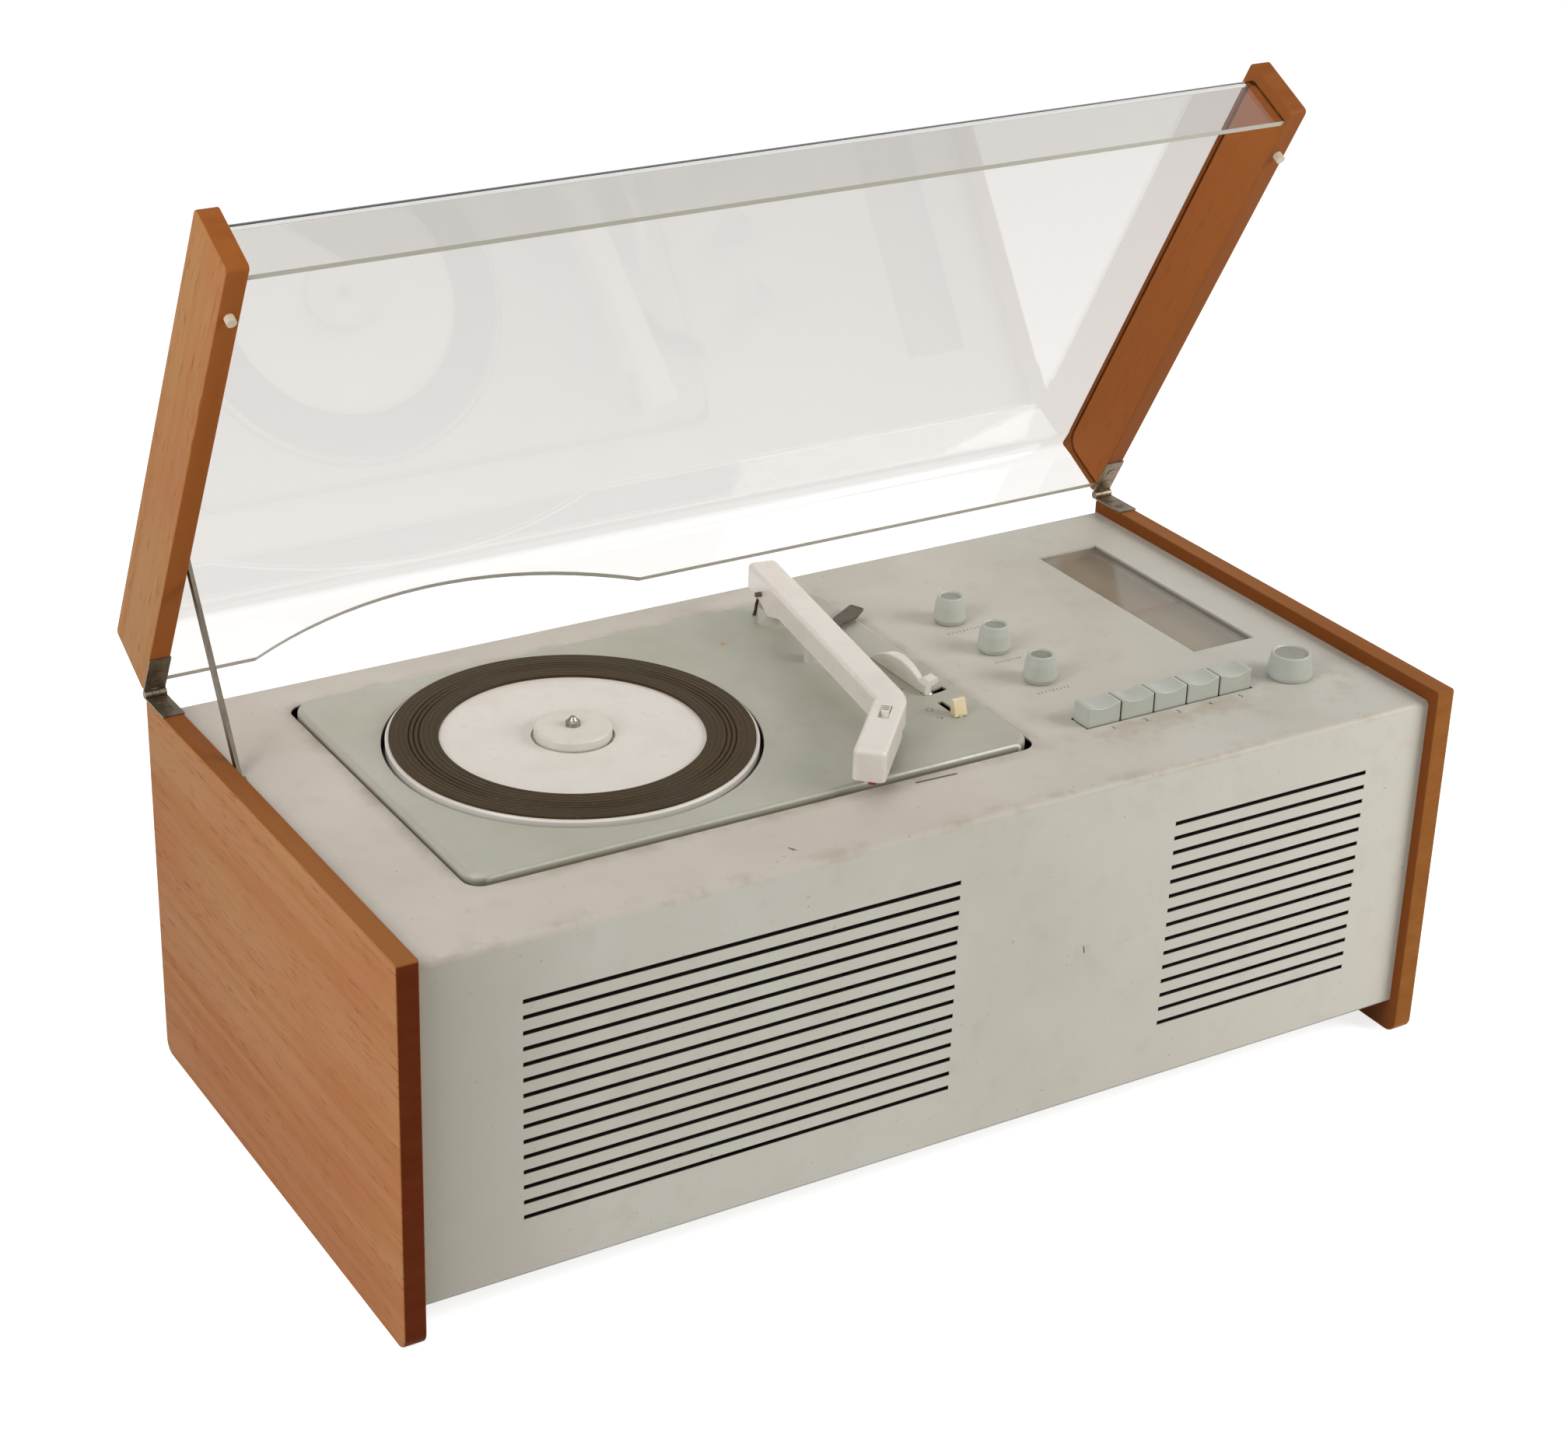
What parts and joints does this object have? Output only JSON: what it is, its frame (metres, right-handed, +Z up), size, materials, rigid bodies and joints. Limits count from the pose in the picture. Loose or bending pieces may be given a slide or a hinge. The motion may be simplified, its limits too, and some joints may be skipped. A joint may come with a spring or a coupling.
{
  "type": "radiogram",
  "caption": "Table-top radiogram: record turntable with pick-up arm and a radio in one sheet-metal body between wooden side panels, under a clear hinged lid that stands open.",
  "frame": {"origin": "on the table, under the middle of the whole part's outline with the lid open, so 18.1 mm behind the middle of the body", "axes": "+X to the right along the front, +Y to the rear, +Z up; lid open at rest"},
  "size_m": [0.583, 0.3244, 0.4742],
  "materials": {
    "wood": "oiled satin",
    "cover_paint": "satin",
    "deck_paint": "satin",
    "platter_paint": "satin",
    "mat_rubber": "matt",
    "arm_plastic": "gloss",
    "control_plastic": "satin",
    "cream_plastic": "gloss",
    "clear_acrylic": "clear",
    "glass": "clear",
    "steel": "satin",
    "hinge_steel": "worn",
    "dark_steel": "satin",
    "base_paint": "matt",
    "board": "raw",
    "cone_paper": "matt",
    "magnet_iron": "matt",
    "rubber": "matt",
    "pale_rubber": "matt",
    "pointer_red": "matt",
    "scale_print": "matt",
    "socket_plastic": "matt",
    "can_metal": "satin"
  },
  "bodies": {
    "cabinet": {"side_panel_left": "wood", "side_panel_right": "wood", "cover": "cover_paint", "base_plate": "base_paint", "rear_panel": "base_paint", "panel_screws": "steel", "rear_sockets": "socket_plastic", "speaker_baffle": "board", "speaker_frames": "dark_steel", "speaker_magnets": "magnet_iron", "speaker_cones": "cone_paper", "deck_plate": "deck_paint", "deck_mounts": "rubber", "platter_bearing": "steel", "motor": "magnet_iron", "arm_base": "control_plastic", "arm_rest": "control_plastic", "dial_scale": "scale_print", "dial_glass": "glass", "dial_frame": "base_paint", "tuner_chassis": "base_paint", "valves": "glass", "transformers": "magnet_iron", "tuning_capacitor": "can_metal", "potentiometers": "can_metal", "key_switch": "socket_plastic", "hinge_leaves_lower": "hinge_steel", "hinge_pins": "hinge_steel", "hinge_screws_lower": "hinge_steel", "stay_guide": "steel"},
    "lid": {"lid_cheek_left": "wood", "lid_cheek_right": "wood", "lid_pane": "clear_acrylic", "lid_buffers": "pale_rubber", "hinge_leaves_upper": "hinge_steel", "hinge_screws_upper": "hinge_steel"},
    "stay": {"stay": "steel"},
    "platter": {"platter": "platter_paint", "platter_mat": "mat_rubber", "spindle": "steel"},
    "centre_adapter": {"centre_adapter": "control_plastic"},
    "idler_wheel": {"idler_wheel": "rubber"},
    "motor_pulley": {"motor_pulley": "steel"},
    "arm_bracket": {"arm_bracket": "steel"},
    "tonearm": {"tonearm": "arm_plastic"},
    "stylus_selector": {"stylus_selector": "arm_plastic"},
    "cartridge": {"cartridge": "socket_plastic"},
    "auto_stop_lever": {"auto_stop_lever": "dark_steel"},
    "speed_lever": {"speed_lever": "arm_plastic"},
    "start_slider": {"start_slider": "cream_plastic"},
    "knob_tone": {"knob_tone": "control_plastic"},
    "knob_balance": {"knob_balance": "control_plastic"},
    "knob_volume": {"knob_volume": "control_plastic"},
    "knob_tuning": {"knob_tuning": "control_plastic"},
    "dial_pointer": {"dial_pointer": "pointer_red"},
    "key_1": {"key_1": "control_plastic"},
    "key_2": {"key_2": "control_plastic"},
    "key_3": {"key_3": "control_plastic"},
    "key_4": {"key_4": "control_plastic"},
    "key_5": {"key_5": "control_plastic"}
  },
  "joints": [
    {"name": "lid_hinge", "type": "hinge", "parent": "cabinet", "child": "lid", "pos_m": [0, 0.12768, 0.2015], "axis": [1, 0, 0], "range_deg": [0, 61.7]},
    {"name": "stay_pivot", "type": "hinge", "parent": "lid", "child": "stay", "pos_m": [-0.278, 0.09519, 0.28315], "axis": [1, 0, 0], "range_deg": [-33, 0]},
    {"name": "platter_spin", "type": "hinge", "parent": "cabinet", "child": "platter", "pos_m": [-0.123, -0.00112, 0.1966], "axis": [0, 0, -1], "continuous": true},
    {"name": "adapter_lift", "type": "slide", "parent": "platter", "child": "centre_adapter", "axis": [0, 0, 1], "range_m": [0, 0.02]},
    {"name": "idler_spin", "type": "hinge", "parent": "cabinet", "child": "idler_wheel", "pos_m": [-0.06069, -0.03709, 0.1909], "axis": [0, 0, -1], "continuous": true},
    {"name": "pulley_spin", "type": "hinge", "parent": "cabinet", "child": "motor_pulley", "pos_m": [-0.06069, -0.01784, 0.1909], "axis": [0, 0, -1], "continuous": true},
    {"name": "arm_swing", "type": "hinge", "parent": "cabinet", "child": "arm_bracket", "pos_m": [0.0337, 0.07108, 0.2], "axis": [0, 0, -1], "range_deg": [0, 33]},
    {"name": "arm_lift", "type": "hinge", "parent": "arm_bracket", "child": "tonearm", "pos_m": [0.0337, 0.07108, 0.213], "axis": [-0.989, 0.1478, 0], "range_deg": [0, 4.5]},
    {"name": "selector_slide", "type": "slide", "parent": "tonearm", "child": "stylus_selector", "axis": [-0.6781, -0.7347, -0.0188], "range_m": [0, 0.0054]},
    {"name": "cartridge_turn", "type": "hinge", "parent": "tonearm", "child": "cartridge", "pos_m": [-0.01485, -0.10163, 0.20686], "axis": [-0.6781, -0.7347, -0.0188], "range_deg": [0, 180]},
    {"name": "auto_stop_turn", "type": "hinge", "parent": "cabinet", "child": "auto_stop_lever", "pos_m": [0.0475, 0.03739, 0.198], "axis": [0, 0, 1], "range_deg": [0, 12]},
    {"name": "speed_turn", "type": "hinge", "parent": "cabinet", "child": "speed_lever", "pos_m": [0.0573, 0.00488, 0.198], "axis": [0, 0, 1], "range_deg": [0, 14]},
    {"name": "start_slide", "type": "slide", "parent": "cabinet", "child": "start_slider", "axis": [0, 1, 0], "range_m": [0, 0.014]},
    {"name": "tone_turn", "type": "hinge", "parent": "cabinet", "child": "knob_tone", "pos_m": [0.1203, 0.03619, 0.195], "axis": [0, 0, -1], "range_deg": [-140, 140]},
    {"name": "balance_turn", "type": "hinge", "parent": "cabinet", "child": "knob_balance", "pos_m": [0.1203, -0.00462, 0.195], "axis": [0, 0, -1], "range_deg": [-140, 140]},
    {"name": "volume_turn", "type": "hinge", "parent": "cabinet", "child": "knob_volume", "pos_m": [0.1203, -0.04541, 0.195], "axis": [0, 0, -1], "range_deg": [-140, 140]},
    {"name": "tuning_turn", "type": "hinge", "parent": "cabinet", "child": "knob_tuning", "pos_m": [0.2375, -0.09932, 0.195], "axis": [0, 0, -1], "range_deg": [-720, 720]},
    {"name": "pointer_slide", "type": "slide", "parent": "cabinet", "child": "dial_pointer", "axis": [0, 1, 0], "range_m": [-0.061, 0.07]},
    {"name": "key_1_press", "type": "slide", "parent": "cabinet", "child": "key_1", "axis": [0, 0, -1], "range_m": [0, 0.005], "stiffness_N_per_m": 300, "springref_m": -0.003},
    {"name": "key_2_press", "type": "slide", "parent": "cabinet", "child": "key_2", "axis": [0, 0, -1], "range_m": [0, 0.005], "stiffness_N_per_m": 300, "springref_m": -0.003},
    {"name": "key_3_press", "type": "slide", "parent": "cabinet", "child": "key_3", "axis": [0, 0, -1], "range_m": [0, 0.005], "stiffness_N_per_m": 300, "springref_m": -0.003},
    {"name": "key_4_press", "type": "slide", "parent": "cabinet", "child": "key_4", "axis": [0, 0, -1], "range_m": [0, 0.005], "stiffness_N_per_m": 300, "springref_m": -0.003},
    {"name": "key_5_press", "type": "slide", "parent": "cabinet", "child": "key_5", "axis": [0, 0, -1], "range_m": [0, 0.005], "stiffness_N_per_m": 300, "springref_m": -0.003}
  ],
  "couplings": [
    {"joint": "stay_pivot", "follows": "lid_hinge", "ratio": -0.4898},
    {"joint": "idler_spin", "follows": "platter_spin", "ratio": 5.8133},
    {"joint": "pulley_spin", "follows": "platter_spin", "ratio": -21.8},
    {"joint": "cartridge_turn", "follows": "selector_slide", "rad_per_m": 580},
    {"joint": "pointer_slide", "follows": "tuning_turn", "m_per_rad": 0.0042}
  ]
}
